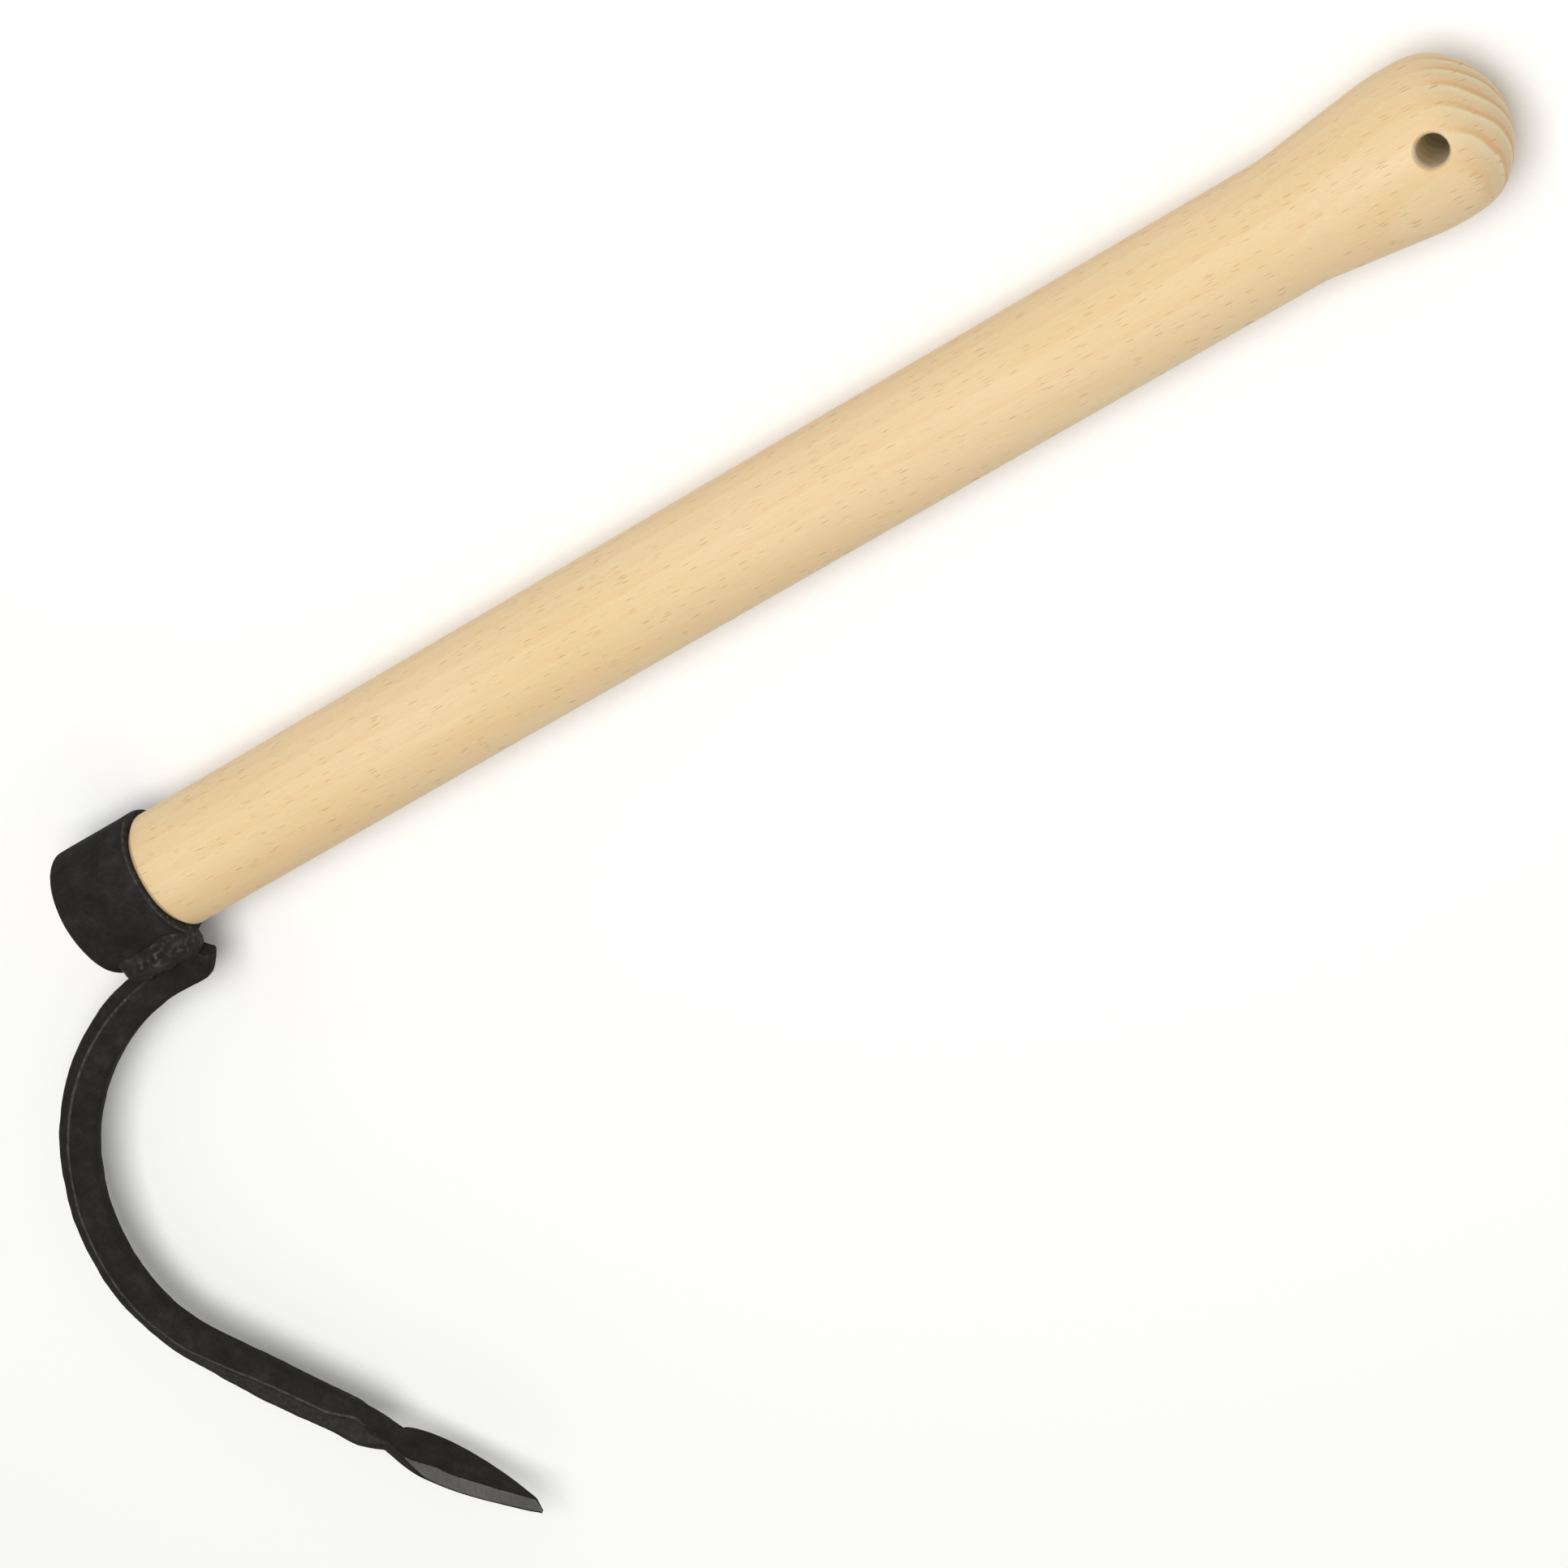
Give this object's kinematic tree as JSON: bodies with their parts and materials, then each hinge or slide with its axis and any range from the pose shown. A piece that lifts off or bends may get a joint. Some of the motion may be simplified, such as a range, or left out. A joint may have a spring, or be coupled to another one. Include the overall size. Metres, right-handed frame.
{
  "type": "single-tine cultivator",
  "caption": "Hand cultivator with a turned wooden grip, a steel socket ring and a forged hook tine ending in a twisted leaf-shaped blade.",
  "frame": {"origin": "middle of the hanging hole, on the axis of the grip", "axes": "+X runs along the grip toward the knob, +Y away from the hook, +Z along the hanging hole, across the plane of the hook"},
  "size_m": [0.4396, 0.2005, 0.0364],
  "materials": {
    "beech": "bare, finely sanded",
    "black_paint": "thin satin paint over forged steel",
    "steel": "bare"
  },
  "bodies": {
    "root": {"handle": "beech", "socket_ring": "black_paint", "end_wedge": "steel", "tine": "black_paint", "weld_near": "black_paint", "weld_far": "black_paint"}
  },
  "joints": []
}
